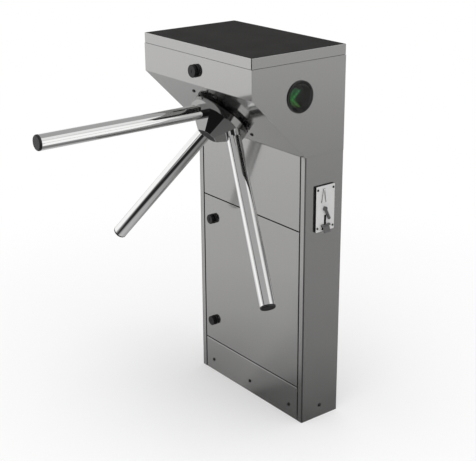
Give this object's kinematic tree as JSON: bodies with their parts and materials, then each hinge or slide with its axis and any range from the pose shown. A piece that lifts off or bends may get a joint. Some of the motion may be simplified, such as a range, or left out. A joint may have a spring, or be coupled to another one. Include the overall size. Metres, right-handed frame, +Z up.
{
  "type": "tripod turnstile",
  "caption": "Upright sheet-steel tripod turnstile: rotating hub with slanted arms under a hinged lid, direction lamps, coin unit and a locked service door on the pillar.",
  "frame": {"origin": "centre of the floor anchor pattern, on the floor", "axes": "+Z up, +X along the lane towards the coin unit's end, -Y out over the lane where the arms point"},
  "size_m": [0.6848, 0.7381, 1],
  "materials": {
    "sheet_steel": "fine satin stainless sheet",
    "bare_steel": "machined steel",
    "floor_steel": "grey primer",
    "arm_tube": "polished stainless tube",
    "hub_metal": "polished casting",
    "cast_aluminium": "machined",
    "brass_gear": "machined",
    "coin_plate": "bright satin",
    "dark_zinc": "dark zinc",
    "black_metal": "black",
    "black_plastic": "satin black",
    "top_board": "fine satin black",
    "smoked_lens": "smoked clear",
    "green_led": "lit green",
    "circuit_board": "solder mask",
    "rubber_ring": "matte"
  },
  "bodies": {
    "cabinet": {"pillar_shell": "sheet_steel", "upper_front_panel": "sheet_steel", "kick_panel": "sheet_steel", "head_shell": "sheet_steel", "door_pivots": "bare_steel", "lid_hinge_fixed_leaf": "bare_steel", "coin_box": "bare_steel", "equipment_plate": "bare_steel", "mechanism_plate": "bare_steel", "chassis_columns": "bare_steel", "chassis_studs": "bare_steel", "bearing_outer_rings": "bare_steel", "return_spring": "bare_steel", "base_frame": "floor_steel", "hub_flange": "hub_metal", "rear_plate": "cast_aluminium", "bearing_housing": "cast_aluminium", "damper_body": "cast_aluminium", "power_supply": "cast_aluminium", "coin_faceplate": "coin_plate", "lid_lock_housing": "black_metal", "cabinet_screws": "black_metal", "mechanism_screws": "black_metal", "solenoids": "black_metal", "coin_frame": "black_plastic", "coin_acceptor": "black_plastic", "indicator_bezels": "black_plastic", "position_sensors": "black_plastic", "indicator_lenses": "smoked_lens", "indicator_leds": "green_led", "control_board": "circuit_board", "cable_grommet": "rubber_ring"},
    "rotor": {"hub": "hub_metal", "hub_cap": "black_plastic", "arm_1": "arm_tube", "arm_2": "arm_tube", "arm_3": "arm_tube", "arm_caps": "black_plastic", "main_shaft": "bare_steel", "bearing_inner_rings": "bare_steel", "drive_gear": "bare_steel", "lock_wheel": "bare_steel", "sensor_disc": "bare_steel"},
    "crank": {"crank_gear": "brass_gear"},
    "damper": {"damper_pinion": "brass_gear"},
    "lid": {"lid_tray": "sheet_steel", "lid_top_panel": "top_board", "lid_keeper": "bare_steel", "lid_hinge_moving_leaf": "bare_steel"},
    "door": {"service_door": "sheet_steel", "door_lock_housings": "black_metal"},
    "lid_lock_body": {"lid_lock": "black_metal"},
    "upper_lock_body": {"door_lock_upper": "black_metal"},
    "lower_lock_body": {"door_lock_lower": "black_metal"},
    "return_lever_body": {"coin_return_lever": "dark_zinc"},
    "return_flap_body": {"coin_return_flap": "dark_zinc"},
    "entry_pawl_body": {"pawl_entry": "bare_steel"},
    "entry_plunger_body": {"plunger_entry": "bare_steel"},
    "exit_pawl_body": {"pawl_exit": "bare_steel"},
    "exit_plunger_body": {"plunger_exit": "bare_steel"}
  },
  "joints": [
    {"name": "rotor_spin", "type": "hinge", "parent": "cabinet", "child": "rotor", "pos_m": [0, -0.146, 0.8185], "axis": [0, -0.7071, -0.7071], "continuous": true},
    {"name": "crank_spin", "type": "hinge", "parent": "cabinet", "child": "crank", "pos_m": [0.08, -0.146, 0.8185], "axis": [0, -0.7071, -0.7071], "continuous": true, "deforming": ["return_spring"]},
    {"name": "damper_spin", "type": "hinge", "parent": "cabinet", "child": "damper", "pos_m": [-0.075, -0.146, 0.8185], "axis": [0, -0.7071, -0.7071], "continuous": true},
    {"name": "lid_hinge", "type": "hinge", "parent": "cabinet", "child": "lid", "pos_m": [0, 0.066, 0.9745], "axis": [-1, 0, 0], "range_deg": [0, 100]},
    {"name": "door_hinge", "type": "hinge", "parent": "cabinet", "child": "door", "pos_m": [0.1955, -0.0565, 0.318], "axis": [0, 0, 1], "range_deg": [0, 80]},
    {"name": "lid_lock_turn", "type": "hinge", "parent": "cabinet", "child": "lid_lock_body", "pos_m": [0, -0.2295, 0.937], "axis": [0, 1, 0], "range_deg": [0, 90]},
    {"name": "door_lock_upper_turn", "type": "hinge", "parent": "door", "child": "upper_lock_body", "pos_m": [-0.163, -0.0625, 0.4725], "axis": [0, -1, 0], "range_deg": [0, 90]},
    {"name": "door_lock_lower_turn", "type": "hinge", "parent": "door", "child": "lower_lock_body", "pos_m": [-0.163, -0.0625, 0.1635], "axis": [0, -1, 0], "range_deg": [0, 90]},
    {"name": "coin_lever_turn", "type": "hinge", "parent": "cabinet", "child": "return_lever_body", "pos_m": [0.228, -0.002, 0.5945], "axis": [1, 0, 0], "range_deg": [0, 20], "stiffness_Nm_per_rad": 0.05, "springref_deg": -11.46},
    {"name": "coin_flap_lift", "type": "hinge", "parent": "cabinet", "child": "return_flap_body", "pos_m": [0.231, 0, 0.5509], "axis": [0, -1, 0], "range_deg": [0, 70]},
    {"name": "entry_pawl_swing", "type": "hinge", "parent": "cabinet", "child": "entry_pawl_body", "pos_m": [0.071, -0.17853, 0.85103], "axis": [0, 0.7071, 0.7071], "range_deg": [0, 8], "stiffness_Nm_per_rad": 0.4, "springref_deg": -11.46},
    {"name": "entry_plunger_slide", "type": "slide", "parent": "cabinet", "child": "entry_plunger_body", "axis": [1, 0, 0], "range_m": [0, 0.0054]},
    {"name": "exit_pawl_swing", "type": "hinge", "parent": "cabinet", "child": "exit_pawl_body", "pos_m": [-0.071, -0.17853, 0.85103], "axis": [0, -0.7071, -0.7071], "range_deg": [0, 8], "stiffness_Nm_per_rad": 0.4, "springref_deg": -11.46},
    {"name": "exit_plunger_slide", "type": "slide", "parent": "cabinet", "child": "exit_plunger_body", "axis": [-1, 0, 0], "range_m": [0, 0.0054]}
  ],
  "couplings": [
    {"joint": "crank_spin", "follows": "rotor_spin", "ratio": -3},
    {"joint": "damper_spin", "follows": "rotor_spin", "ratio": -4},
    {"joint": "entry_plunger_slide", "follows": "entry_pawl_swing", "m_per_rad": 0.038},
    {"joint": "exit_plunger_slide", "follows": "exit_pawl_swing", "m_per_rad": 0.038}
  ]
}
